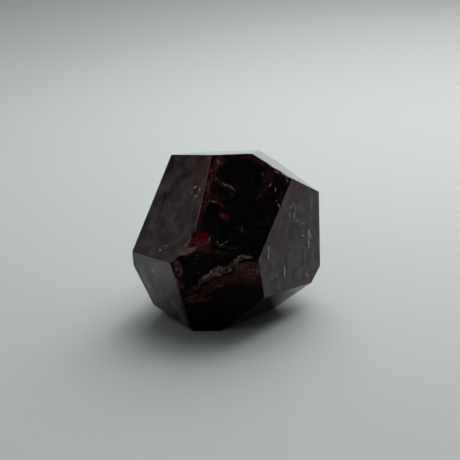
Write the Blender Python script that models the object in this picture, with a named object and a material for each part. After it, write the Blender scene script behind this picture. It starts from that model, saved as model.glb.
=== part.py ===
"""Garnet crystal, polished and grown as one piece.

Each facet is a plane with its own direction and its own distance from the
crystal's centre, as on a distorted dodecahedral crystal. The facets cut a
block down to the crystal, its edges are eased, and the broken surfaces are
cut last: ledges where a flake came off, spalls along edges and small pits.
Angles are in degrees and sizes in millimetres, scaled to metres by MM.
"""
import math

import bmesh
import bpy
from mathutils import Matrix, Vector, noise

MM = 0.001

# The crystal's centre, above the floor that it rests on.
CENTRE = Vector((0.34, -2.18, 22.0)) * MM

# Facet: azimuth (0 = +X, 90 = +Y), elevation, distance from the centre.
FACETS = {
    "front_upper": (-77.0, 29.0, 18.00),
    "front_lower": (-89.0, -7.5, 19.90),
    "left_upper": (-138.0, 31.0, 19.90),
    "left_lower": (-133.5, -14.5, 24.20),
    "left_strip": (-132.5, -14.5, 24.25),
    "right": (-39.5, 3.0, 18.00),
    "right_strip": (-44.5, 1.0, 18.85),
    "right_under": (-48.0, -39.5, 22.60),
    "top": (96.0, 75.0, 19.75),
    "back_right_upper": (17.5, 56.5, 20.45),
    "back_right": (31.5, 2.0, 20.75),
    "back_right_under": (41.5, -50.0, 20.90),
    "back": (90.0, 17.0, 21.50),
    "back_under": (97.0, -41.0, 22.50),
    "left_back": (150.5, 10.0, 16.50),
    "left_back_under": (158.5, -23.5, 22.00),
    "left_foot": (-151.5, -60.0, 27.25),
    "base": (0.0, -90.0, 22.00),
}

BLOCK_SIZE = 90.0
EDGE_EASE = 0.22
EDGE_EASE_STEPS = 2

# Broken corner of the front_lower facet, as flakes that came off it. Each has
# a rounded ledge along its rim and a bed that runs out to its back. Points are
# right and up from the facet's middle.
FLAKES = {
    "main": {
        "depth": 1.50,
        "rim": [(-12.4, -9.6), (-10.4, -8.3), (-8.6, -6.8), (-7.3, -5.1), (-5.9, -3.7), (-4.5, -2.5),
                (-3.0, -1.5), (-1.8, -1.9), (-0.3, -1.8), (0.5, -0.7), (1.2, 0.5), (2.6, 1.6),
                (4.5, 2.0), (5.8, 1.6), (6.8, 0.7)],
        "back": [(-12.4, -9.6), (-13.3, -5.0), (-12.3, -1.2), (-13.5, 2.8), (-12.0, 6.8),
                 (-8.0, 9.0), (-2.0, 7.0), (3.0, 5.4), (6.8, 0.7)],
    },
    "arch": {
        "depth": 0.28,
        "rim": [(1.0, -3.6), (2.1, -2.5), (3.8, -1.5), (5.2, -0.8), (6.4, -1.1), (7.6, -2.9),
                (8.3, -5.0)],
        "back": [(1.0, -3.6), (0.6, -1.6), (1.8, 0.6), (4.0, 1.6), (6.4, 1.0), (8.3, -0.8),
                 (8.3, -5.0)],
    },
    "step": {
        "depth": 0.50,
        "rim": [(-12.2, -9.7), (-9.8, -8.9), (-7.9, -8.6), (-6.0, -7.7), (-5.3, -7.0), (-4.6, -6.4),
                (-3.3, -6.1), (-1.4, -6.0)],
        "back": [(-12.2, -9.7), (-9.6, -7.4), (-7.6, -5.6), (-5.6, -4.4), (-3.0, -4.2),
                 (-1.4, -6.0)],
    },
    "foot": {
        "depth": 0.40,
        "rim": [(-13.0, -12.0), (-11.9, -11.2), (-9.9, -10.9), (-7.9, -10.5), (-5.9, -10.2),
                (-4.4, -8.8)],
        "back": [(-13.0, -12.0), (-12.3, -9.6), (-9.4, -8.7), (-6.6, -8.2), (-4.4, -8.8)],
    },
}
BLOW = Vector((-9.6, 7.6))
RIPPLE_PITCH = 2.3
RIPPLE_BEND = 1.2
RIPPLE_SHARE = 0.12
RING_WEIGHT = 0.25
CRUMB_WEIGHT = 1.0
CRUMB_PITCH = 2.4
CRUMB_STEPS = 2
LEDGE_WIDTH = 0.95
LEDGE_CURVE = 1.8
LEDGE_START = 0.35
BACK_SLOPE = 0.8
BED_RISE = 0.8
BED_CURVE = 1.4
RIM_WANDER = 0.22
WANDER_PITCH = 0.9

# The cutter's grid is turned to run with the ledge, and is finer across it.
BREAK_TURN = 33.0
BREAK_LOW = (-19.0, -10.5)
BREAK_HIGH = (8.5, 13.5)
BREAK_CELL = (0.50, 0.26)
LIFT = 0.35
LIFT_SLOPE = 1.5
LID_HEIGHT = 3.0
CURVE_STEPS = 6

# Spall on an edge: two facets, place along the edge, radius, depth, length to width.
EDGE_SPALLS = [
    ("front_lower", "left_upper", -3.4, 1.9, 0.75, 1.3),
    ("front_lower", "left_upper", -0.6, 1.5, 0.55, 1.2),
    ("front_lower", "left_upper", 1.7, 2.1, 0.80, 1.3),
    ("front_upper", "left_upper", -8.2, 1.7, 0.60, 1.2),
    ("front_upper", "front_lower", 8.8, 1.9, 0.80, 1.3),
    ("front_lower", "left_strip", 8.6, 1.3, 0.45, 1.6),
    ("front_lower", "left_strip", 5.2, 1.2, 0.40, 1.8),
    ("front_upper", "back_right_upper", -3.4, 1.2, 0.20, 1.6),
    ("front_upper", "back_right_upper", 0.4, 0.9, 0.16, 1.7),
    ("back", "left_back", 3.0, 2.4, 0.70, 1.6),
    ("back_right", "back_right_under", -6.0, 1.6, 0.50, 1.8),
    ("back_right", "back", -4.0, 1.4, 0.45, 1.9),
    ("left_back", "left_back_under", 7.0, 1.9, 0.55, 1.7),
]

# Pit in a facet: facet, right, up, radius, depth, length to width, turn.
PITS = [
    ("front_upper", -5.0, 0.9, 1.1, 0.22, 1.35, 150.0),
    ("left_upper", 3.8, 4.9, 1.1, 0.18, 1.20, 20.0),
    ("right", 3.5, 7.4, 0.7, 0.14, 1.60, 70.0),
    ("right", 10.8, -1.6, 0.6, 0.16, 2.60, 90.0),
]
PIT_RINGS = 4
PIT_SIDES = 14

# Bowl of a spall or pit, as shares of its radius and depth: how far it runs
# past its rim, how uneven that rim is, and the ripples across it.
BOWL_REACH = 1.25
BOWL_UNEVEN = 0.16
BOWL_RIPPLE = 0.06
BOWL_RIPPLE_TURNS = 9.0

STONE_COLOUR = (0.055, 0.008, 0.011, 1.0)
STONE_ROUGHNESS = 0.06


def direction(azimuth, elevation):
    """Unit vector from two angles in degrees."""
    a, e = math.radians(azimuth), math.radians(elevation)
    return Vector((math.cos(e) * math.cos(a), math.cos(e) * math.sin(a), math.sin(e)))


def facet_frame(name):
    """Frame on a facet: X right, Y up and Z out of the stone, middle on the facet."""
    azimuth, elevation, distance = FACETS[name]
    out = direction(azimuth, elevation)
    right = Vector((0, 0, 1)).cross(out).normalized()
    up = out.cross(right)
    turn = Matrix((right, up, out)).transposed().to_4x4()
    return Matrix.Translation(CENTRE + out * distance * MM) @ turn


def edge_frame(first, second, along):
    """Frame on the edge of two facets: X along it and Z out of the stone."""
    out_1, out_2 = direction(*FACETS[first][:2]), direction(*FACETS[second][:2])
    reach_1, reach_2 = FACETS[first][2] * MM, FACETS[second][2] * MM
    share = out_1.dot(out_2)
    fall = 1.0 - share * share
    foot = out_1 * ((reach_1 - share * reach_2) / fall) + out_2 * ((reach_2 - share * reach_1) / fall)
    run = out_1.cross(out_2).normalized()
    if run.z < 0:
        run = -run
    out = (out_1 + out_2).normalized()
    side = out.cross(run)
    turn = Matrix((run, side, out)).transposed().to_4x4()
    return Matrix.Translation(CENTRE + foot + run * along * MM) @ turn


def garnet_material():
    """Dark red polished stone."""
    material = bpy.data.materials.new("garnet")
    material.use_nodes = True
    shader = material.node_tree.nodes["Principled BSDF"]
    shader.inputs["Base Color"].default_value = STONE_COLOUR
    shader.inputs["Roughness"].default_value = STONE_ROUGHNESS
    shader.inputs["Metallic"].default_value = 0.0
    return material


def crystal_block():
    """Block cut down by every facet, with eased edges."""
    bm = bmesh.new()
    bmesh.ops.create_cube(bm, size=BLOCK_SIZE * MM, matrix=Matrix.Translation(CENTRE))
    for azimuth, elevation, distance in FACETS.values():
        out = direction(azimuth, elevation)
        cut = bmesh.ops.bisect_plane(bm, geom=bm.verts[:] + bm.edges[:] + bm.faces[:], dist=1e-7,
                                     plane_co=CENTRE + out * distance * MM, plane_no=out,
                                     clear_outer=True)
        border = [item for item in cut["geom_cut"] if isinstance(item, bmesh.types.BMEdge)]
        bmesh.ops.edgeloop_fill(bm, edges=border)
    bmesh.ops.bevel(bm, geom=bm.edges[:], offset=EDGE_EASE * MM, offset_type="WIDTH",
                    segments=EDGE_EASE_STEPS, profile=0.5, affect="EDGES", clamp_overlap=True)
    bmesh.ops.recalc_face_normals(bm, faces=bm.faces[:])
    return bm


def add_object(name, bm, place=None):
    """Scene object that holds a finished bmesh."""
    mesh = bpy.data.meshes.new(name)
    bm.to_mesh(mesh)
    bm.free()
    thing = bpy.data.objects.new(name, mesh)
    if place is not None:
        thing.matrix_world = place
    bpy.context.scene.collection.objects.link(thing)
    return thing


def add_cutter(name, bm, place):
    """Cutter that is kept in the file and left out of the part."""
    cutter = add_object(name, bm, place)
    cutter.hide_render = True
    cutter.display_type = "WIRE"
    return cutter


def smooth_line(points):
    """Points along a smooth curve through the given points."""
    line = []
    last = len(points) - 1
    for i in range(last):
        p0, p1, p2, p3 = [Vector(points[max(0, min(last, k))]) for k in (i - 1, i, i + 1, i + 2)]
        for step in range(CURVE_STEPS):
            t = step / CURVE_STEPS
            line.append(0.5 * (2 * p1 + (p2 - p0) * t + (2 * p0 - 5 * p1 + 4 * p2 - p3) * t ** 2
                               + (3 * p1 - p0 - 3 * p2 + p3) * t ** 3))
    return line + [Vector(points[-1])]


def distance_to(line, spot):
    """Shortest way from a spot to a line of points."""
    nearest = 1e9
    for start, end in zip(line, line[1:]):
        run = end - start
        share = max(0.0, min(1.0, (spot - start).dot(run) / run.length_squared))
        nearest = min(nearest, (spot - start - run * share).length)
    return nearest


def is_inside(loop, spot):
    """Whether a spot lies inside a closed loop of points."""
    inside = False
    for start, end in zip(loop, loop[1:] + loop[:1]):
        if (start.y > spot.y) != (end.y > spot.y):
            if spot.x < start.x + (end.x - start.x) * (spot.y - start.y) / (end.y - start.y):
                inside = not inside
    return inside


def ripple(spot):
    """Conchoidal ripples and crumbs of a broken surface, about -1 to 1."""
    crumbs = noise.fractal(spot.to_3d() / CRUMB_PITCH, 0.8, 2.1, CRUMB_STEPS)
    run = (spot - BLOW).length + RIPPLE_BEND * crumbs
    return RING_WEIGHT * math.sin(2 * math.pi * run / RIPPLE_PITCH) + CRUMB_WEIGHT * crumbs


def flake_height(rim, back, depth, spot):
    """Height of one flake's surface over the facet, above it outside the flake."""
    to_rim, to_back = distance_to(rim, spot), distance_to(back, spot)
    if not is_inside(rim + back[-2:0:-1], spot):
        return min(LIFT, LIFT_SLOPE * min(to_rim, to_back))
    share = to_rim / (to_rim + to_back + 1e-9)
    bed = depth * (1.0 - BED_RISE * share ** BED_CURVE - RIPPLE_SHARE * ripple(spot))
    ledge = LEDGE_START * to_rim + depth * (to_rim / LEDGE_WIDTH) ** LEDGE_CURVE
    return -min(ledge, BACK_SLOPE * to_back, bed)


def break_cutter(name, facet):
    """Cutter whose underside is the broken surface of a facet."""
    flakes = [(smooth_line(f["rim"]), smooth_line(f["back"]), f["depth"]) for f in FLAKES.values()]
    counts = [round((high - low) / cell) for low, high, cell in zip(BREAK_LOW, BREAK_HIGH, BREAK_CELL)]
    turn = Matrix.Rotation(math.radians(BREAK_TURN), 2)
    bm = bmesh.new()
    grid = {}
    for i in range(counts[0] + 1):
        for j in range(counts[1] + 1):
            spot = turn @ Vector((BREAK_LOW[0] + i * BREAK_CELL[0], BREAK_LOW[1] + j * BREAK_CELL[1]))
            wander = noise.noise_vector(spot.to_3d() / WANDER_PITCH).xy * RIM_WANDER
            height = min(flake_height(*flake, spot + wander) for flake in flakes)
            grid[i, j] = bm.verts.new(Vector((spot.x, spot.y, height)) * MM)
    for i in range(counts[0]):
        for j in range(counts[1]):
            bm.faces.new((grid[i, j], grid[i, j + 1], grid[i + 1, j + 1], grid[i + 1, j]))
    rim = [edge for edge in bm.edges if edge.is_boundary]
    grown = bmesh.ops.extrude_edge_only(bm, edges=rim)["geom"]
    wall_top = [item for item in grown if isinstance(item, bmesh.types.BMVert)]
    for vert in wall_top:
        vert.co.z = LID_HEIGHT * MM
    bmesh.ops.edgeloop_fill(bm, edges=[edge for edge in bm.edges if edge.is_boundary])
    bmesh.ops.recalc_face_normals(bm, faces=bm.faces[:])
    return add_cutter(name, bm, facet_frame(facet))


def spall_cutter(name, place, radius, depth, stretch, turn=0.0):
    """Cutter for a shell-shaped spall or pit, its bowl below the given place."""
    bm = bmesh.new()
    bowl = []
    for ring in range(1, PIT_RINGS + 1):
        reach = BOWL_REACH * ring / PIT_RINGS
        row = []
        for side in range(PIT_SIDES):
            angle = 2 * math.pi * side / PIT_SIDES
            around = Vector((math.cos(angle), math.sin(angle), 7 * radius))
            uneven = 1.0 + BOWL_UNEVEN * noise.noise(around)
            x = radius * reach * stretch * uneven * math.cos(angle)
            y = radius * reach * uneven * math.sin(angle)
            z = depth * (reach ** 2 - 1.0 + BOWL_RIPPLE * math.sin(BOWL_RIPPLE_TURNS * reach))
            row.append(bm.verts.new(Vector((x, y, z)) * MM))
        bowl.append(row)
    floor = bm.verts.new(Vector((0.0, 0.0, -depth)) * MM)
    lid = [bm.verts.new(Vector((v.co.x, v.co.y, (LID_HEIGHT + depth) * MM))) for v in bowl[-1]]
    for side in range(PIT_SIDES):
        after = (side + 1) % PIT_SIDES
        bm.faces.new((floor, bowl[0][after], bowl[0][side]))
        for inner, outer in zip(bowl, bowl[1:] + [lid]):
            bm.faces.new((inner[side], inner[after], outer[after], outer[side]))
    bm.faces.new(lid)
    bmesh.ops.recalc_face_normals(bm, faces=bm.faces[:])
    return add_cutter(name, bm, place @ Matrix.Rotation(math.radians(turn), 4, "Z"))


def cut(crystal, cutter):
    """Take a cutter's shape out of the crystal."""
    step = crystal.modifiers.new(cutter.name, "BOOLEAN")
    step.operation = "DIFFERENCE"
    step.solver = "EXACT"
    step.object = cutter


def main():
    for thing in list(bpy.data.objects):
        bpy.data.objects.remove(thing, do_unlink=True)
    crystal = add_object("garnet_crystal", crystal_block())
    crystal.data.materials.append(garnet_material())
    cut(crystal, break_cutter("cut_broken_corner", "front_lower"))
    for i, (first, second, along, radius, depth, stretch) in enumerate(EDGE_SPALLS, 1):
        cut(crystal, spall_cutter(f"cut_spall_{i:02d}", edge_frame(first, second, along),
                                  radius, depth, stretch))
    for i, (facet, right, up, radius, depth, stretch, turn) in enumerate(PITS, 1):
        place = facet_frame(facet) @ Matrix.Translation(Vector((right, up, 0.0)) * MM)
        cut(crystal, spall_cutter(f"cut_pit_{i:02d}", place, radius, depth, stretch, turn))


main()
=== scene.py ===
"""Garnet crystal: a polished stone with one broken face, on a pale floor.

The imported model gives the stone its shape. This script makes its broken
surfaces finer, gives each surface its finish, and sets up the floor, the light
and the camera. Sizes are in millimetres, scaled to metres by MM, and angles
are in degrees, unless a comment says otherwise.
"""
import functools
import math

import bmesh
import bpy
from bpy.props import FloatProperty, FloatVectorProperty, PointerProperty, StringProperty
from mathutils import Matrix, Vector, noise


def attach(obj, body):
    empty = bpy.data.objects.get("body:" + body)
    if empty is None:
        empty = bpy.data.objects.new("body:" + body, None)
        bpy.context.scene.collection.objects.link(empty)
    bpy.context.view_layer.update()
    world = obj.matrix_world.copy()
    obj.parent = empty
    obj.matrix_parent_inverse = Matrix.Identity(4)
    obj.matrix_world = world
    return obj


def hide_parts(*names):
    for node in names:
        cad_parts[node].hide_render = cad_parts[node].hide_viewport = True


bl_info = {
    "name": "Garnet Crystal",
    "version": (1, 0, 0),
    "blender": (4, 5, 0),
    "location": "View3D > Sidebar > Garnet",
    "description": "Builds a polished garnet crystal and the stage it stands on",
    "category": "Object",
}

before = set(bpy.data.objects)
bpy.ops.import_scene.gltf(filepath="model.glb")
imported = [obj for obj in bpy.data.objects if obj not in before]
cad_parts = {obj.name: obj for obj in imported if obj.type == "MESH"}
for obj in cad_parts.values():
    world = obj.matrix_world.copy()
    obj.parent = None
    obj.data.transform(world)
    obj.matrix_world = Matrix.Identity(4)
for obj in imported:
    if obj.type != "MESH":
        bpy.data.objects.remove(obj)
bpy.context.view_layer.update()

MM = 0.001
NODE = "garnet_crystal"
BODY = "root"

# Facets: azimuth (0 = +X, 90 = +Y) and elevation of the way each one looks.
FACETS = {
    "front_upper": (-77.0, 29.0),
    "front_lower": (-89.0, -7.5),
    "left_upper": (-138.0, 31.0),
    "left_lower": (-133.5, -14.5),
    "left_strip": (-132.5, -14.5),
    "right": (-39.5, 3.0),
    "right_strip": (-44.5, 1.0),
    "right_under": (-48.0, -39.5),
    "top": (96.0, 75.0),
    "back_right_upper": (17.5, 56.5),
    "back_right": (31.5, 2.0),
    "back_right_under": (41.5, -50.0),
    "back": (90.0, 17.0),
    "back_under": (97.0, -41.0),
    "left_back": (150.5, 10.0),
    "left_back_under": (158.5, -23.5),
    "left_foot": (-151.5, -60.0),
    "base": (0.0, -90.0),
}
CENTRE = Vector((0.34, -2.18, 22.0)) * MM

# Surfaces with a material of their own; plain is every other polished facet.
SURFACES = ("plain", "front_upper", "left_upper", "left_lower", "right", "front_lower", "broken")

# Flaws in the stone that show through its surface, and painted light, by kind
# and facet. Each is a soft oval: place right and up from the facet's middle,
# half length, half width, turn and strength. A glow is painted light: red light
# shining through the stone. Red is the veil of a healed crack, a dimmer red,
# pale is an open crack or a needle, the sheet glow is painted light too: the red
# glow under the broken corner, where light comes in through its ledge, beige is
# a stain, and edge is a pale line along an edge, partly worn and partly a
# painted highlight.
FLAWS_AND_PAINTED_LIGHT = {
    # Painted light: red light shining through the stone.
    "glow": {
        "front_upper": [
            (-11.2, -4.6, 2.2, 1.8, 10, 1.0),
            (-9.4, -5.0, 1.2, 0.9, -10, 0.14),
            (-5.0, 0.6, 1.4, 0.9, -38, 0.7),
            (-8.4, 8.0, 7.4, 1.1, 69, 0.08),
            (9.6, 9.6, 3.6, 2.6, -36, 0.08),
        ],
        "back": [
            (8.0, 8.0, 3.2, 1.0, 30, 0.3),
        ],
        "left_back": [
            (-6.0, -4.0, 3.0, 0.8, 60, 0.25),
        ],
        "back_right": [
            (-8.0, 2.0, 3.4, 0.9, 80, 0.25),
        ],
    },
    "red": {
        "front_upper": [
            (-11.4, -6.3, 2.2, 0.9, -5, 1.3),
            (-5.6, 3.6, 1.5, 0.4, -42, 0.8),
            (-4.6, 14.4, 1.5, 1.2, 20, 0.8),
            (-6.4, 12.0, 2.4, 1.0, 68, 0.9),
            (-7.8, 8.6, 2.8, 0.9, 69, 1.0),
            (-9.2, 4.8, 2.6, 0.8, 71, 0.8),
            (-11.2, 0.0, 3.6, 0.5, 71, 0.5),
            (-4.2, 8.4, 2.4, 0.9, -37, 0.4),
            (-6.6, 5.6, 2.2, 1.0, -10, 0.4),
            (10.8, 10.4, 2.7, 0.9, -36, 1.1),
            (7.1, 9.6, 1.7, 1.3, 60, 0.5),
            (4.9, 5.6, 2.3, 0.5, 52, 0.5),
            (6.9, 6.9, 2.2, 0.5, 40, 0.5),
            (5.8, 13.2, 3.2, 0.5, -32, 0.5),
            (1.5, 14.9, 3.6, 0.35, -4, 0.4),
            (10.1, 4.8, 1.4, 0.5, 62, 0.6),
        ],
        "front_lower": [
            (-10.9, 4.3, 2.6, 1.4, 15, 1.5),
            (-13.0, -1.0, 3.0, 0.9, -84, 1.0),
            (-12.4, -5.6, 2.2, 0.6, -74, 0.7),
            (-9.0, -9.9, 3.6, 0.8, 8, 0.45),
            (-3.4, 3.6, 3.0, 0.5, -8, 0.7),
            (-5.0, -6.8, 3.2, 0.7, 32, 0.7),
            (5.2, -2.0, 2.6, 1.2, 10, 0.5),
        ],
        "left_upper": [
            (8.0, -8.0, 2.4, 0.7, 62, 0.8),
            (0.5, 9.5, 5.0, 4.0, 75, 0.24),
        ],
        "right": [
            (-5.6, -12.2, 2.4, 0.9, -35, 0.8),
            (8.7, -13.6, 1.0, 0.6, 30, 0.6),
            (6.0, 11.4, 5.0, 2.0, -25, 0.35),
            (13.8, 3.0, 5.0, 0.7, 88, 0.50),
            (-3.4, 5.4, 4.6, 1.6, 66, 0.30),
        ],
        "back": [
            (-6.0, 5.0, 4.6, 0.8, 40, 0.4),
            (6.5, -4.0, 3.8, 0.6, -30, 0.4),
            (-2.0, -8.0, 4.6, 0.4, 8, 0.4),
        ],
        "left_back": [
            (3.5, 6.0, 4.6, 0.6, 72, 0.4),
            (-3.0, 0.5, 3.4, 0.7, -40, 0.3),
        ],
        "back_right": [
            (-4.0, -5.0, 4.2, 0.7, -50, 0.4),
            (5.0, 4.0, 4.0, 0.5, 60, 0.4),
        ],
        "back_right_upper": [
            (0.0, 2.0, 4.0, 0.7, 35, 0.35),
        ],
        "top": [
            (2.0, 3.0, 4.2, 0.7, 20, 0.35),
            (-5.0, -2.0, 3.6, 0.5, -50, 0.35),
        ],
    },
    "pale": {
        "front_upper": [
            (-11.5, -6.3, 2.2, 0.6, -3, 0.9),
            (-9.4, -4.8, 0.9, 0.25, 62, 0.7),
            (-5.4, 0.9, 0.5, 0.3, -38, 0.5),
            (-4.3, 8.6, 1.4, 0.20, -36, 0.7),
            (-2.4, 7.5, 1.4, 0.16, -43, 0.9),
            (-3.0, 8.2, 1.0, 0.12, -40, 0.7),
            (-6.0, 10.0, 0.5, 0.15, 40, 0.8),
            (-2.5, 5.8, 0.5, 0.15, 88, 0.8),
            (-8.1, 9.1, 0.4, 0.20, -30, 0.9),
            (-7.6, 4.5, 0.9, 0.25, -15, 0.8),
            (-6.3, 4.3, 0.6, 0.18, -5, 0.5),
            (-4.9, 14.0, 0.6, 0.5, 0, 0.5),
            (-7.4, -5.8, 0.62, 0.10, 86, 1.2),
            (-5.8, -6.0, 1.7, 0.10, 24, 1.2),
            (-0.9, -2.9, 0.8, 0.16, 80, 0.6),
            (9.9, 11.4, 0.9, 0.16, -36, 2.2),
            (9.4, 10.7, 0.7, 0.12, -40, 1.2),
            (7.4, 7.4, 0.9, 0.22, 55, 0.7),
            (8.7, 6.2, 0.6, 0.12, 86, 1.2),
            (9.1, 2.2, 0.7, 0.14, -70, 1.8),
            (8.7, 3.2, 0.4, 0.12, -60, 0.8),
            (11.9, 8.4, 0.6, 0.16, -60, 0.9),
            (5.8, 10.5, 0.4, 0.16, -70, 0.6),
            (6.0, -1.1, 0.9, 0.12, -80, 0.3),
        ],
        "front_lower": [
            (-11.4, 4.0, 2.2, 0.8, 12, 0.9),
            (-9.4, 4.6, 1.0, 0.6, 30, 0.9),
            (-13.2, -0.2, 2.6, 0.6, -84, 0.16),
            (-13.6, -3.6, 1.6, 0.25, -70, 0.6),
            (-12.3, -6.2, 0.5, 0.3, -20, 0.9),
            (-9.8, -8.9, 1.8, 0.14, 10, 0.4),
            (-6.6, -8.2, 1.3, 0.14, 25, 0.6),
            (4.6, -1.0, 2.4, 0.10, 8, 0.5),
            (7.0, -2.2, 1.4, 0.10, -52, 0.5),
        ],
        "left_upper": [
            (7.2, -8.8, 2.7, 0.35, 68, 0.7),
            (2.8, 5.8, 0.7, 0.26, 45, 1.5),
            (4.6, 5.5, 0.8, 0.26, -60, 1.7),
            (4.2, 3.7, 0.7, 0.26, 20, 1.5),
            (2.5, 4.2, 0.6, 0.22, -40, 1.3),
            (-0.3, -12.0, 0.5, 0.2, 0, 1.2),
            (1.1, -10.6, 1.0, 0.18, 20, 1.0),
            (-1.3, -10.5, 0.5, 0.16, -30, 1.0),
        ],
        "left_lower": [
            (-5.25, 0.25, 1.9, 0.18, 88, 1.6),
            (2.1, 1.2, 2.6, 0.16, 80, 0.9),
            (3.4, 3.6, 1.6, 0.3, -20, 0.7),
            (-10.0, -3.2, 2.6, 0.7, -78, 0.7),
            (-8.4, -6.8, 2.2, 0.7, -50, 0.7),
        ],
        "right": [
            (3.0, 7.6, 0.9, 0.18, 120, 1.4),
            (4.4, 5.6, 1.1, 0.18, 75, 1.5),
            (2.4, 6.0, 0.8, 0.16, 100, 1.2),
            (6.0, 3.3, 1.6, 0.16, -29, 1.0),
            (8.4, 1.9, 1.2, 0.16, -31, 1.0),
            (10.6, -4.3, 1.5, 0.20, 90, 1.7),
            (8.6, -1.4, 0.9, 0.16, -15, 1.3),
            (-6.8, -1.4, 2.2, 0.18, 87, 1.6),
            (-0.3, -8.3, 1.5, 0.18, 88, 1.8),
            (9.7, -13.0, 1.0, 0.18, -62, 1.2),
            (10.7, -14.4, 0.6, 0.16, -30, 1.2),
            (-2.2, 8.6, 1.6, 0.14, 70, 0.8),
        ],
        "back": [
            (-3.0, -5.0, 1.5, 0.16, 60, 1.0),
            (2.5, 3.0, 1.1, 0.16, -20, 1.0),
            (3.0, 2.2, 0.8, 0.14, 50, 1.0),
        ],
        "left_back": [
            (1.5, -3.0, 1.3, 0.16, 30, 1.0),
        ],
        "back_right": [
            (2.0, -1.0, 1.4, 0.16, -60, 1.0),
        ],
        "top": [
            (-4.0, 1.0, 1.3, 0.16, 10, 1.0),
        ],
    },
    # Painted light: the red glow under the broken corner, where light comes in through its ledge.
    "sheet_glow": {
        "front_lower": [
            (-7.0, 3.4, 3.2, 0.7, -6, 0.3),
            (-1.0, 3.4, 5.0, 0.6, -4, 0.25),
            (-3.8, -4.9, 4.2, 1.4, 30, 0.45),
            (-0.4, -3.9, 2.8, 1.5, 10, 0.6),
            (4.4, -1.4, 3.6, 2.4, -5, 1.0),
            (5.6, -4.4, 2.4, 1.5, 0, 0.5),
        ],
        "right": [
            (-2.4, -0.3, 3.4, 1.8, -10, 0.45),
        ],
    },
    "beige": {
        "front_lower": [
            (-3.2, -2.0, 1.8, 0.7, 18, 0.8),
            (-5.4, -3.5, 1.6, 0.4, 42, 0.5),
            (1.2, 0.6, 1.0, 0.35, 52, 0.6),
        ],
        "left_lower": [
            (-1.3, -7.3, 1.5, 0.5, -75, 1.0),
            (0.3, -9.6, 1.7, 0.5, -45, 1.0),
            (2.4, -13.2, 3.0, 0.5, -68, 1.0),
            (2.6, -2.0, 2.6, 0.5, -78, 0.6),
        ],
        "right": [
            (11.0, -1.7, 1.3, 0.7, 90, 1.5),
        ],
    },
    # A pale line along the edge between the front and left upper facets: partly worn, partly a painted
    # highlight.
    "edge": {
        "front_upper": [
            (-9.75, 6.2, 11.4, 0.15, 71.6, 0.85),
        ],
        "left_upper": [
            (6.9, 2.6, 11.4, 0.13, 104.5, 0.85),
        ],
    },
}

# How deep an oval reaches on either side of its facet, and where its rim ends
# and where it is whole, as shares of its half length and half width.
OVAL_DEPTH = 2.5
OVAL_RIM = {"interpolation_type": "SMOOTHSTEP", "From Min": 1.35, "From Max": 0.65}

# Kinds of flaw and of painted light: deep and light shade, share of light
# turned back, how far its outline wanders, and how broken up it is.
LOOKS_BY_KIND = {
    # The glow and the sheet glow are painted red light shining through the stone, and the edge line is
    # partly a painted highlight.
    "glow": ("#b0002c", "#c83050", 0.34, 0.5, 0.3),
    "red": ("#b0142a", "#cc8c96", 0.28, 0.9, 1.0),
    "sheet_glow": ("#781428", "#b8888c", 0.40, 1.2, 1.0),
    "pale": ("#c79c9e", "#d8ccc6", 0.55, 0.14, 1.0),
    "beige": ("#b09478", "#dcc8b0", 0.50, 0.3, 0.8),
    "edge": ("#c8989e", "#dcc0c0", 0.50, 0.04, 0.4),
}

# Grain of the flaws: lobes of healed cracks, patches of a veil, and bubbles.
# Real bubbles are under 0.1 mm apart; these are coarser, so that they show.
LOBES = {"Scale": 1 / (1.25 * MM), "Detail": 3.0}
PATCHES = {"Scale": 1 / (0.77 * MM), "Detail": 4.0, "Roughness": 0.7}
BUBBLES = {"Scale": 1 / (0.385 * MM), "Detail": 3.0, "Roughness": 0.6}
# What the patches take from a flaw and add to it at most, the stretch of noise
# over which patches and bubbles come in, and how soon a flaw hides what is
# under it.
PATCH_LOSS = 0.85
PATCH_GAIN = 0.2
PATCH_RANGE = {"From Min": 0.40, "From Max": 0.60}
BUBBLE_RANGE = {"From Min": 0.46, "From Max": 0.66}
COVER_GAIN = 4.0

# Polished facets: what is left of the mirror, share of light that scratches
# turn back, how gradually it varies, its deep and light shade, and the way the
# lapping lines run. Scratches dim the mirror a little; beyond that, each
# facet's mirror is dimmed as painted shade on what it mirrors, most on the
# right facet.
FINISHES = {
    "plain": ("#cfc5c5", 0.022, 0.13, "#a83c4c", "#c0a4a4", 90.0),
    "front_upper": ("#cfc5c5", 0.014, 0.13, "#b81c30", "#c8bcb8", 60.0),
    "left_upper": ("#b4a8a8", 0.17, 0.12, "#a04850", "#c8b4b0", 82.0),
    "left_lower": ("#c0baba", 0.20, 0.08, "#8c6058", "#c8c4b8", 105.0),
    # The right facet's dark mirror is painted shade.
    "right": ("#706668", 0.185, 0.06, "#a0505c", "#d0bcbc", 88.0),
}
# Lapping lines, length and width. Real ones are a few hundredths of a
# millimetre wide; these are coarser, so that they show.
LINE_LENGTH = 4.5
LINE_WIDTH = 0.45
LINES = {"Scale": 1.0, "Detail": 3.0, "Roughness": 0.6}
LINE_RELIEF = {"Strength": 0.03, "Distance": 0.01 * MM}
# Clouds of uneven polish, and how rough the polish is within them.
CLOUDS = {"Scale": 1 / (2.6 * MM), "Detail": 4.0, "Roughness": 0.55}
POLISH = {"From Min": 0.35, "From Max": 0.70, "To Min": 0.015, "To Max": 0.07}
# Wear is lines times clouds: its middle value, and the values between which it
# turns from its deep to its light shade.
WEAR_MIDDLE = 0.25
WEAR_SHADES = {"From Min": 0.15, "From Max": 0.30}

# Growth hillocks of the natural face, and their relief.
HILLOCKS = {"Scale": 1 / (2.38 * MM), "Detail": 5.0}
HILLOCK_RELIEF = {"Strength": 0.5, "Distance": 0.1 * MM}

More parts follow.
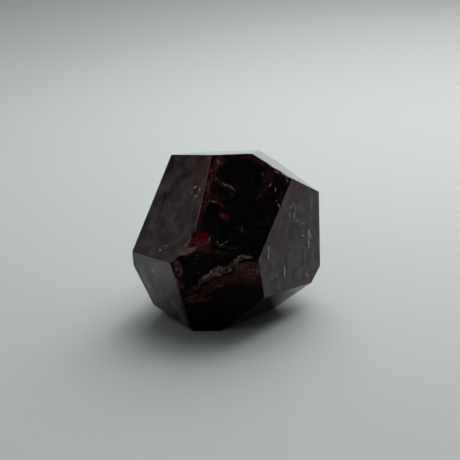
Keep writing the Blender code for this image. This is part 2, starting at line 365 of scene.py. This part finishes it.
# Sugar and crumbs of a broken surface. Real sugar is 0.1 to 0.3 mm; this is
# coarser, so that it shows.
SUGAR = {"Scale": 1 / (0.556 * MM), "Detail": 4.0, "Roughness": 0.7}
SUGAR_RELIEF = {"Strength": 0.6, "Distance": 0.1 * MM}
CRUMBS = {"Scale": 1 / (0.667 * MM), "Detail": 3.0, "Roughness": 0.6}
# Where crumbs are frosted on a ledge and away from one, the share of light
# that frost turns back, and its shade from clear to white. On ledges that face
# up, the frost is also a painted highlight.
LEDGE_SHEEN_CRUMBS = {"From Min": 0.44, "From Max": 0.60}
FLECKS = {"From Min": 0.53, "From Max": 0.68, "To Max": 0.17}
FROST_AND_SHEEN_SHARE = {"To Min": 0.003, "To Max": 0.9}
FROST_AND_SHEEN_SHADES = ((0.0, "#6b2028"), (0.12, "#9c6a68"), (0.5, "#e4ccba"))
# Flaws and painted light that also show through the broken surfaces.
SHOWN_ON_BREAK = {
    "glow": ("front_upper",),
    "red": ("front_lower", "front_upper", "left_upper"),
    "sheet_glow": ("front_lower",),
    "pale": ("front_lower", "left_upper"),
    "beige": ("front_lower",),
}

# The big break: how far it reaches from the front lower facet's middle,
# sideways and up, and how deep a face lies that belongs to it. Other chips
# keep the polish around them, and shade smoothly where they lie deeper than
# PIT_DEPTH.
BREAK_REACH = 17.0
BREAK_TOP = 9.5
BREAK_DEPTH = 0.07
PIT_DEPTH = 0.02
# Points closer than WELD are one. Then come how many times each edge of the
# break is cut, the crumbs' fractal (falloff, step between octaves and number of
# octaves), and the share of the room under the facet that they may fill.
WELD = 0.0001
BREAK_CUTS = 2
CRUMB_FRACTAL = (0.8, 2.1, 3)
CRUMB_ROOM = 0.6
# Ledges frost fully to the right of a ramp, and only by LEDGE_REST to the left
# of it, above LEDGE_TOP and deeper than LEDGE_DEEP. A surface starts to be a
# ledge where its normal rises by LEDGE_RISE, and is one LEDGE_RISE_SPAN later.
# This frost is partly a painted highlight, pale where a surface faces up.
LEDGE_START = -10.5
LEDGE_RAMP = 4.0
LEDGE_REST = 0.25
LEDGE_TOP = 4.0
LEDGE_DEEP = -3.0
LEDGE_RISE = 0.15
LEDGE_RISE_SPAN = 0.4

# Softboxes: name, place and aim in metres, side in metres, power in watts.
LAMPS = (
    ("back softbox", (0.20, 0.68, 0.84), (0.0, 0.0, 0.0), 1.0, 3.0),
    ("bench softbox", (0.04, 0.13, 0.30), (0.0, 0.0, 0.0), 0.30, 0.5),
    ("side softbox", (0.24, 0.32, 0.41), (0.24, 0.32, 0.0), 0.40, 1.5),
    ("left fill", (-0.39, -0.33, 0.61), (0.0, 0.0, 0.0), 0.40, 0.3),
)

# Sky light, dim in front of the stone and bright behind it: the span of the
# direction's Y, and the strength at its ends.
SKY = {"interpolation_type": "SMOOTHSTEP", "From Min": -0.35, "From Max": 0.35,
       "To Min": 0.012, "To Max": 0.30}

# Dark bars of the window that the left facets mirror: azimuth and elevation of
# the way across the bar, its middle and half width along that, softness, and
# share of light let through.
WINDOW_BARS = (
    (-103.19, -3.57, -0.060, 0.060, 0.006, 0.10),
    (-99.14, 4.53, 0.0, 0.0030, 0.0016, 0.35),
)
# Heights, as sines, between which the bars fade in, so that none stands on the
# horizon.
BAR_FOOT = {"interpolation_type": "SMOOTHSTEP", "From Min": 0.19, "From Max": 0.26}

# The camera sees from just in front of its lens to well past the floor's edge.
CLIP_START = 10.0 * MM
CLIP_END = 50000.0 * MM


def linear(text):
    """Linear colour of an sRGB hex value such as #40160f."""
    parts = [int(text[i:i + 2], 16) / 255 for i in (1, 3, 5)]
    return tuple(c / 12.92 if c <= 0.04045 else ((c + 0.055) / 1.055) ** 2.4 for c in parts) + (1.0,)


def add_node(tree, kind, settings=None, **links):
    """Node with its settings and links.

    A setting is an input, by name or number, or else a property of the node. A
    link is named after its input, with _ for a space, or i and its number. It
    comes from a socket, or from the first output of a node.
    """
    node = tree.nodes.new(kind)
    for name, value in (settings or {}).items():
        if isinstance(name, int) or name in node.inputs:
            node.inputs[name].default_value = value
        else:
            setattr(node, name, value)
    for name, source in links.items():
        key = int(name[1:]) if name[0] == "i" and name[1:].isdigit() else name.replace("_", " ")
        socket = source.outputs[0] if isinstance(source, bpy.types.Node) else source
        tree.links.new(socket, node.inputs[key])
    return node


def new_material(name):
    """Material with an empty node tree, and that tree."""
    material = bpy.data.materials.new(name)
    material.use_nodes = True
    material.node_tree.nodes.clear()
    return material, material.node_tree


def direction(azimuth, elevation):
    """Unit vector from two angles in degrees."""
    a, e = math.radians(azimuth), math.radians(elevation)
    return Vector((math.cos(e) * math.cos(a), math.cos(e) * math.sin(a), math.sin(e)))


@functools.cache
def facet_plane(name):
    """The way a facet looks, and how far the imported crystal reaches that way."""
    out = direction(*FACETS[name])
    return out, max(vert.co.dot(out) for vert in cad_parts[NODE].data.vertices)


def facet_frame(name):
    """Frame on a facet that isn't level: X right, Y up, Z out of the stone."""
    out, reach = facet_plane(name)
    right = Vector((0, 0, 1)).cross(out).normalized()
    turn = Matrix((right, out.cross(right), out)).transposed().to_4x4()
    return Matrix.Translation(CENTRE + out * (reach - CENTRE.dot(out))) @ turn


def nearest_facet(point):
    """Name of the facet that a point lies in or is nearest to."""
    def gap(name):
        out, reach = facet_plane(name)
        return reach - point.dot(out)
    return min(FACETS, key=gap)


def depth_below(point):
    """How far a point lies under the nearest facet."""
    return min(reach - point.dot(out) for out, reach in map(facet_plane, FACETS))


def share_of(value, start, span):
    """0 up to start, 1 from span past it, and even in between."""
    return max(0.0, min(1.0, (value - start) / span))


class StoneSettings(bpy.types.PropertyGroup):
    """Body and finish of the stone."""
    ior: FloatProperty(
        name="IOR", description="Refractive index of almandine garnet", default=1.79, min=1.0, max=3.0)
    absorb_hex: StringProperty(
        name="Absorption colour", description="What the body lets through, as sRGB hex", default="#c80028")
    absorb_density: FloatProperty(
        name="Absorption", description="How strongly the body absorbs, per metre", default=800.0, min=0.0)
    # On the front lower facet this weak mirror is painted shade; on the broken surfaces it is their own
    # dullness.
    dull_and_shade_ior: FloatProperty(
        name="Dull IOR", description="Index that leaves a dull surface its weak mirror", default=1.22,
        min=1.0, max=3.0)
    dull_and_shade_hex: StringProperty(
        name="Dull mirror", description="What a dull surface leaves of the mirror, as sRGB hex",
        default="#949090")
    dimmed_roughness: FloatProperty(
        name="Dimmed roughness", description="Roughness of the dimmed face", default=0.22, min=0.0,
        max=1.0, subtype="FACTOR")
    broken_roughness: FloatProperty(
        name="Broken roughness", description="Roughness of the broken surfaces", default=0.4, min=0.0,
        max=1.0, subtype="FACTOR")
    haze_hex: StringProperty(
        name="Haze colour", description="Haze under the dimmed face, as sRGB hex", default="#b81c30")
    haze: FloatProperty(
        name="Haze", description="Share of light that the haze turns back", default=0.015, min=0.0,
        max=1.0, subtype="FACTOR")
    crumb_height: FloatProperty(
        name="Crumb height", description="Height of the crumbs on broken surfaces", default=0.11 * MM,
        unit="LENGTH", precision=6)
    crumb_size: FloatProperty(
        name="Crumb size", description="Size of the crumbs on broken surfaces", default=0.75 * MM,
        unit="LENGTH", precision=6)


class StageSettings(bpy.types.PropertyGroup):
    """Floor and camera."""
    floor_hex: StringProperty(
        name="Floor colour", description="Pale floor, as sRGB hex", default="#bcc3c2")
    floor_roughness: FloatProperty(
        name="Floor roughness", description="Roughness of the floor", default=0.75, min=0.0, max=1.0,
        subtype="FACTOR")
    floor_size: FloatProperty(
        name="Floor size", description="Side of the square floor", default=8.0, unit="LENGTH")
    target: FloatVectorProperty(
        name="Target", description="Point that the camera looks at",
        default=(CENTRE.x, CENTRE.y, 21.1 * MM), subtype="TRANSLATION", unit="LENGTH", precision=6)
    camera_distance: FloatProperty(
        name="Distance", description="From the target to the camera", default=228.9 * MM, unit="LENGTH",
        precision=4)
    camera_rise: FloatProperty(
        name="Rise", description="How high the camera stands over the target, as an angle",
        default=math.radians(22.0), subtype="ANGLE")
    view_angle: FloatProperty(
        name="View angle", description="Angle that the camera takes in", default=math.radians(30.0),
        subtype="ANGLE")


def kind_mask(tree, place, ovals_on, wander):
    """Mask of one kind of flaw or light: its soft ovals, with outlines that wander."""
    lobes = add_node(tree, "ShaderNodeTexNoise", LOBES, Vector=place)
    shift = add_node(tree, "ShaderNodeVectorMath", {
        "operation": "MULTIPLY_ADD", 1: (2 * wander * MM,) * 3, 2: (-wander * MM,) * 3},
        i0=lobes.outputs["Color"])
    moved = add_node(tree, "ShaderNodeVectorMath", {"operation": "ADD"}, i0=place, i1=shift)
    mask = None
    for facet, ovals in ovals_on.items():
        for right, up, length, width, turn, strength in ovals:
            middle = facet_frame(facet) @ Matrix.Translation(Vector((right, up, 0.0)) * MM)
            spin = (middle @ Matrix.Rotation(math.radians(turn), 4, "Z")).to_euler()
            local = add_node(tree, "ShaderNodeMapping", {
                "vector_type": "TEXTURE", "Location": middle.translation, "Rotation": spin,
                "Scale": Vector((length, width, OVAL_DEPTH)) * MM}, Vector=moved)
            away = add_node(tree, "ShaderNodeVectorMath", {"operation": "LENGTH"}, i0=local)
            oval = add_node(tree, "ShaderNodeMapRange", {**OVAL_RIM, "To Max": strength},
                            Value=away.outputs["Value"])
            if mask is None:
                mask = oval
            else:
                mask = add_node(tree, "ShaderNodeMath", {"operation": "MAXIMUM"}, i0=mask, i1=oval)
    return mask


def add_flaws_and_painted_light(tree, place, shown, colour, share):
    """Lay flaws and painted light over a colour and the share of light it turns back.

    shown gives the facets whose flaws and painted light show, by kind.
    """
    patches = add_node(tree, "ShaderNodeTexNoise", PATCHES, Vector=place)
    bubbles = add_node(tree, "ShaderNodeTexNoise", BUBBLES, Vector=place)
    for kind, (deep, light, most, wander, broken_up) in LOOKS_BY_KIND.items():
        ovals_on = {facet: ovals for facet, ovals in FLAWS_AND_PAINTED_LIGHT[kind].items() if facet in shown.get(kind, ())}
        if not ovals_on:
            continue
        mask = kind_mask(tree, place, ovals_on, wander)
        patchy = add_node(tree, "ShaderNodeMapRange", {
            **PATCH_RANGE, "To Min": 1.0 - PATCH_LOSS * broken_up, "To Max": 1.0 + PATCH_GAIN * broken_up},
            Value=patches)
        flaw = add_node(tree, "ShaderNodeMath", {"operation": "MULTIPLY"}, i0=mask, i1=patchy)
        glint = add_node(tree, "ShaderNodeMapRange", {**BUBBLE_RANGE, "To Max": broken_up}, Value=bubbles)
        shade = add_node(tree, "ShaderNodeMix", {"data_type": "RGBA", 6: linear(deep), 7: linear(light)},
                         i0=glint)
        cover = add_node(tree, "ShaderNodeMath", {
            "operation": "MULTIPLY", 1: COVER_GAIN, "use_clamp": True}, i0=flaw)
        colour = add_node(tree, "ShaderNodeMix", {"data_type": "RGBA"}, i0=cover, i6=colour,
                          i7=shade.outputs[2]).outputs[2]
        turned = add_node(tree, "ShaderNodeMath", {"operation": "MULTIPLY", 1: most}, i0=flaw)
        share = add_node(tree, "ShaderNodeMath", {"operation": "MAXIMUM"}, i0=share, i1=turned)
    return colour, share


def garnet_surface(tree, settings, finish, colour, share, **links):
    """Shader and body of the stone.

    The body is clear and absorbs light, so the stone is red where it is thin
    and nearly black where it is thick. The share of light that flaws, painted
    light and scratches turn back takes the colour.
    """
    clear = add_node(tree, "ShaderNodeMath", {"operation": "SUBTRACT", 0: 1.0, "use_clamp": True}, i1=share)
    shader = add_node(tree, "ShaderNodeBsdfPrincipled", finish, Base_Color=colour,
                      Transmission_Weight=clear, **links)
    absorb = add_node(tree, "ShaderNodeVolumeAbsorption", {
        "Color": linear(settings.absorb_hex), "Density": settings.absorb_density})
    add_node(tree, "ShaderNodeOutputMaterial", Surface=shader, Volume=absorb)


# Almandine garnet, lapped and polished. To the eye it is a dark, sharp mirror
# under a thin grey film of fine scratches, with red and pale flaws showing
# through it. Its red glows and part of its edge line are painted light, and its
# mirror is dimmed facet by facet as painted shade.
def polished_material(settings, surface):
    """Material of one polished facet, or of all the plain ones."""
    material, tree = new_material(f"garnet, lapped and polished, {surface}")
    place = add_node(tree, "ShaderNodeTexCoord").outputs["Object"]
    mirror_hex, worn, spread, deep_hex, light_hex, turn = FINISHES[surface]
    facets = [name for name in FACETS if name not in SURFACES] if surface == "plain" else [surface]
    lie = facet_frame("back" if surface == "plain" else surface)
    lie = lie @ Matrix.Rotation(math.radians(turn), 4, "Z")
    along = add_node(tree, "ShaderNodeMapping", {
        "vector_type": "TEXTURE", "Location": lie.translation, "Rotation": lie.to_euler(),
        "Scale": Vector((LINE_LENGTH, LINE_WIDTH, LINE_WIDTH)) * MM}, Vector=place)
    lines = add_node(tree, "ShaderNodeTexNoise", LINES, Vector=along)
    clouds = add_node(tree, "ShaderNodeTexNoise", CLOUDS, Vector=place)
    wear = add_node(tree, "ShaderNodeMath", {"operation": "MULTIPLY"}, i0=lines, i1=clouds)
    dulled = add_node(tree, "ShaderNodeMapRange", {
        "From Min": WEAR_MIDDLE - spread, "From Max": WEAR_MIDDLE + spread, "To Max": worn}, Value=wear)
    shaded = add_node(tree, "ShaderNodeMapRange", WEAR_SHADES, Value=wear)
    greyed = add_node(tree, "ShaderNodeMix", {
        "data_type": "RGBA", 6: linear(deep_hex), 7: linear(light_hex)}, i0=shaded)
    colour, share = add_flaws_and_painted_light(tree, place, dict.fromkeys(FLAWS_AND_PAINTED_LIGHT, facets), greyed.outputs[2], dulled)
    rough = add_node(tree, "ShaderNodeMapRange", POLISH, Value=clouds)
    relief = add_node(tree, "ShaderNodeBump", LINE_RELIEF, Height=lines)
    # The mirror is dimmed by scratches and, per facet, by painted shade.
    finish = {"IOR": settings.ior, "Specular Tint": linear(mirror_hex)}
    garnet_surface(tree, settings, finish, colour, share, Roughness=rough, Normal=relief)
    return material


# Almandine garnet, the front lower facet, given a weak and dimmed mirror as
# painted shade, so that it stays nearly black where it would mirror the shaded
# floor. To the eye it is dull and softly uneven, with a faint red haze, and
# hardly mirrors the floor.
def dimmed_material(settings):
    """Material of the front lower facet."""
    material, tree = new_material("garnet, dimmed face")
    place = add_node(tree, "ShaderNodeTexCoord").outputs["Object"]
    hillocks = add_node(tree, "ShaderNodeTexNoise", HILLOCKS, Vector=place)
    tint = add_node(tree, "ShaderNodeRGB")
    tint.outputs[0].default_value = linear(settings.haze_hex)
    haze = add_node(tree, "ShaderNodeMath", {"operation": "MULTIPLY", 1: settings.haze}, i0=hillocks)
    colour, share = add_flaws_and_painted_light(tree, place, dict.fromkeys(FLAWS_AND_PAINTED_LIGHT, ("front_lower",)), tint, haze)
    relief = add_node(tree, "ShaderNodeBump", HILLOCK_RELIEF, Height=hillocks)
    # A weak, dimmed mirror: painted shade on the front lower facet.
    finish = {"IOR": settings.dull_and_shade_ior, "Roughness": settings.dimmed_roughness,
              "Specular Tint": linear(settings.dull_and_shade_hex)}
    garnet_surface(tree, settings, finish, colour, share, Normal=relief)
    return material


# Almandine garnet, broken. To the eye it is dark and dull, with pale flecks,
# and sugary and nearly white on its ledges, where fine cracks turn light back;
# the white on ledges that face up is partly a painted highlight.
def broken_material(settings):
    """Material of the broken surfaces."""
    material, tree = new_material("garnet, broken")
    place = add_node(tree, "ShaderNodeTexCoord").outputs["Object"]
    sugar = add_node(tree, "ShaderNodeTexNoise", SUGAR, Vector=place)
    crumbs = add_node(tree, "ShaderNodeTexNoise", CRUMBS, Vector=place)
    # Painted highlight: broken surfaces that face up turn pale, most on the right of the big break.
    upward_sheen = add_node(tree, "ShaderNodeAttribute", {"attribute_name": "upward_sheen"})
    lumpy = add_node(tree, "ShaderNodeMapRange", LEDGE_SHEEN_CRUMBS, Value=crumbs)
    upward_sheens = add_node(tree, "ShaderNodeMath", {"operation": "MULTIPLY", "use_clamp": True},
                      i0=upward_sheen.outputs["Fac"], i1=lumpy)
    flecks = add_node(tree, "ShaderNodeMapRange", FLECKS, Value=crumbs)
    frost_and_sheen = add_node(tree, "ShaderNodeMath", {"operation": "MAXIMUM"}, i0=upward_sheens, i1=flecks)
    turned = add_node(tree, "ShaderNodeMapRange", FROST_AND_SHEEN_SHARE, Value=frost_and_sheen)
    shade = add_node(tree, "ShaderNodeValToRGB", Fac=frost_and_sheen)
    shade.color_ramp.elements.new(FROST_AND_SHEEN_SHADES[1][0])
    for stop, (position, text) in zip(shade.color_ramp.elements, FROST_AND_SHEEN_SHADES):
        stop.position = position
        stop.color = linear(text)
    colour, share = add_flaws_and_painted_light(tree, place, SHOWN_ON_BREAK, shade, turned)
    relief = add_node(tree, "ShaderNodeBump", SUGAR_RELIEF, Height=sugar)
    finish = {"IOR": settings.dull_and_shade_ior, "Roughness": settings.broken_roughness,
              "Specular Tint": linear(settings.dull_and_shade_hex)}
    garnet_surface(tree, settings, finish, colour, share, Normal=relief)
    return material


# Plaster, cast and left bare. To the eye it is matt, pale and even.
def plaster_material(settings):
    """Material of the floor."""
    material, tree = new_material("plaster, cast")
    shader = add_node(tree, "ShaderNodeBsdfPrincipled", {
        "Base Color": linear(settings.floor_hex), "Roughness": settings.floor_roughness})
    add_node(tree, "ShaderNodeOutputMaterial", Surface=shader)
    return material


def surface_material(settings, surface):
    """Material of one of the stone's surfaces."""
    if surface == "front_lower":
        return dimmed_material(settings)
    if surface == "broken":
        return broken_material(settings)
    return polished_material(settings, surface)


def sort_faces(bm, break_space):
    """Give each face its surface, and return the broken faces."""
    broken = []
    for face in bm.faces:
        middle = face.calc_center_median()
        depth = depth_below(middle)
        spot = break_space @ middle / MM
        if depth > BREAK_DEPTH * MM and abs(spot.x) < BREAK_REACH and spot.y < BREAK_TOP:
            face.material_index = SURFACES.index("broken")
            broken.append(face)
        else:
            name = nearest_facet(middle)
            face.material_index = SURFACES.index(name if name in SURFACES else "plain")
            face.smooth = depth > PIT_DEPTH * MM
    return broken


def raise_crumbs(bm, settings):
    """Roughen the inside of the break, and return the vertices there."""
    broken = SURFACES.index("broken")
    moves = []
    for vert in bm.verts:
        if all(face.material_index == broken for face in vert.link_faces):
            lift = noise.fractal(vert.co / settings.crumb_size, *CRUMB_FRACTAL) * settings.crumb_height
            moves.append((vert, vert.normal * min(lift, CRUMB_ROOM * depth_below(vert.co))))
    for vert, move in moves:
        vert.co += move
    return [vert for vert, _ in moves]


def upward_sheen_share(spot, rise):
    """How much a point frosts and takes the painted highlight, from its place in the break and its normal's
    rise.
    """
    whole = LEDGE_REST + (1.0 - LEDGE_REST) * share_of(spot.x, LEDGE_START, LEDGE_RAMP)
    if spot.y > LEDGE_TOP or spot.z < LEDGE_DEEP:
        whole = LEDGE_REST
    return whole * share_of(rise, LEDGE_RISE, LEDGE_RISE_SPAN)


def dressed_mesh(settings):
    """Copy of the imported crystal, its broken surfaces made finer and rougher."""
    bm = bmesh.new()
    bm.from_mesh(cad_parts[NODE].data)
    bmesh.ops.remove_doubles(bm, verts=bm.verts[:], dist=WELD * MM)
    break_space = facet_frame("front_lower").inverted()
    broken = sort_faces(bm, break_space)
    edges = list(dict.fromkeys(edge for face in broken for edge in face.edges))
    bmesh.ops.subdivide_edges(bm, edges=edges, cuts=BREAK_CUTS, use_grid_fill=True)
    bmesh.ops.triangulate(bm, faces=[face for face in bm.faces if len(face.verts) > 4])
    bm.normal_update()
    upward_sheen = bm.verts.layers.float.new("upward_sheen")
    crumbly = raise_crumbs(bm, settings)
    bm.normal_update()
    # The painted highlight grows where a broken surface faces up.
    for vert in crumbly:
        vert[upward_sheen] = upward_sheen_share(break_space @ vert.co / MM, vert.normal.z)
    for face in broken:
        face.smooth = True
    mesh = bpy.data.meshes.new("polished_crystal")
    bm.to_mesh(mesh)
    bm.free()
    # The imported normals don't fit the new faces.
    if "custom_normal" in mesh.attributes:
        mesh.attributes.remove(mesh.attributes["custom_normal"])
    return mesh


def studio_sky(context):
    """Soft sky light with the dark bars of a window in it."""
    world = bpy.data.worlds.new("studio")
    context.scene.world = world
    world.use_nodes = True
    tree = world.node_tree
    tree.nodes.clear()
    way = add_node(tree, "ShaderNodeTexCoord").outputs["Generated"]
    parts = add_node(tree, "ShaderNodeSeparateXYZ", Vector=way)
    strength = add_node(tree, "ShaderNodeMapRange", SKY, Value=parts.outputs["Y"])
    height = add_node(tree, "ShaderNodeMapRange", BAR_FOOT, Value=parts.outputs["Z"])
    for azimuth, elevation, middle, half, soft, least in WINDOW_BARS:
        across = add_node(tree, "ShaderNodeVectorMath", {
            "operation": "DOT_PRODUCT", 1: direction(azimuth, elevation)}, i0=way)
        off = add_node(tree, "ShaderNodeMath", {"operation": "SUBTRACT", 1: middle},
                       i0=across.outputs["Value"])
        away = add_node(tree, "ShaderNodeMath", {"operation": "ABSOLUTE"}, i0=off)
        shade = add_node(tree, "ShaderNodeMapRange", {
            "interpolation_type": "SMOOTHSTEP", "From Min": half + soft, "From Max": half - soft,
            "To Max": 1.0 - least}, Value=away)
        bar = add_node(tree, "ShaderNodeMath", {"operation": "MULTIPLY"}, i0=shade, i1=height)
        rest = add_node(tree, "ShaderNodeMath", {"operation": "SUBTRACT", 0: 1.0}, i1=bar)
        strength = add_node(tree, "ShaderNodeMath", {"operation": "MULTIPLY"}, i0=strength, i1=rest)
    light = add_node(tree, "ShaderNodeBackground", {"Color": linear("#ffffff")}, Strength=strength)
    add_node(tree, "ShaderNodeOutputWorld", Surface=light)


def hang_lamps(context):
    """Square softboxes, each turned to its aim."""
    for name, place, aim, side, power in LAMPS:
        lamp = bpy.data.lights.new(name, "AREA")
        lamp.shape = "SQUARE"
        lamp.size = side
        lamp.energy = power
        holder = bpy.data.objects.new(name, lamp)
        holder.location = place
        holder.rotation_euler = (Vector(place) - Vector(aim)).to_track_quat("Z", "Y").to_euler()
        context.scene.collection.objects.link(holder)


def lay_floor(context, settings):
    """Square floor under the stone."""
    bm = bmesh.new()
    bmesh.ops.create_grid(bm, x_segments=1, y_segments=1, size=settings.floor_size / 2)
    mesh = bpy.data.meshes.new("floor")
    bm.to_mesh(mesh)
    bm.free()
    mesh.materials.append(plaster_material(settings))
    floor = bpy.data.objects.new("floor", mesh)
    context.scene.collection.objects.link(floor)


def place_camera(context, settings):
    """Camera in front of the stone, above it and turned to it."""
    lens = bpy.data.cameras.new("camera")
    lens.angle = settings.view_angle
    lens.clip_start = CLIP_START
    lens.clip_end = CLIP_END
    camera = bpy.data.objects.new("camera", lens)
    back = direction(-90.0, math.degrees(settings.camera_rise))
    camera.location = Vector(settings.target) + back * settings.camera_distance
    camera.rotation_euler = back.to_track_quat("Z", "Y").to_euler()
    context.scene.collection.objects.link(camera)
    context.scene.camera = camera
    context.scene.view_settings.view_transform = "Standard"


class GARNET_OT_crystal(bpy.types.Operator):
    """Make the stone, with its finer broken surfaces"""
    bl_idname = "garnet.crystal"
    bl_label = "Crystal"

    def execute(self, context):
        settings = context.scene.garnet_stone
        mesh = dressed_mesh(settings)
        for surface in SURFACES:
            mesh.materials.append(surface_material(settings, surface))
        stone = bpy.data.objects.new("polished_crystal", mesh)
        context.scene.collection.objects.link(stone)
        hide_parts(NODE)
        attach(stone, BODY)
        return {"FINISHED"}


class GARNET_OT_stage(bpy.types.Operator):
    """Lay the floor, light it and place the camera"""
    bl_idname = "garnet.stage"
    bl_label = "Stage"

    def execute(self, context):
        settings = context.scene.garnet_stage
        lay_floor(context, settings)
        studio_sky(context)
        hang_lamps(context)
        place_camera(context, settings)
        return {"FINISHED"}


class GARNET_PT_panel(bpy.types.Panel):
    """Settings and buttons of the stage and the stone"""
    bl_label = "Garnet Crystal"
    bl_idname = "GARNET_PT_panel"
    bl_space_type = "VIEW_3D"
    bl_region_type = "UI"
    bl_category = "Garnet"

    def draw(self, context):
        scene = context.scene
        for settings, operator in ((scene.garnet_stage, "garnet.stage"),
                                   (scene.garnet_stone, "garnet.crystal")):
            for name in type(settings).__annotations__:
                self.layout.prop(settings, name)
            self.layout.operator(operator)


CLASSES = (StoneSettings, StageSettings, GARNET_OT_crystal, GARNET_OT_stage, GARNET_PT_panel)


def register():
    for cls in CLASSES:
        bpy.utils.register_class(cls)
    bpy.types.Scene.garnet_stone = PointerProperty(type=StoneSettings)
    bpy.types.Scene.garnet_stage = PointerProperty(type=StageSettings)


def unregister():
    del bpy.types.Scene.garnet_stage
    del bpy.types.Scene.garnet_stone
    for cls in reversed(CLASSES):
        bpy.utils.unregister_class(cls)


def main():
    """Make the scene."""
    register()
    bpy.ops.garnet.stage()
    bpy.ops.garnet.crystal()


if __name__ == "__main__":
    main()
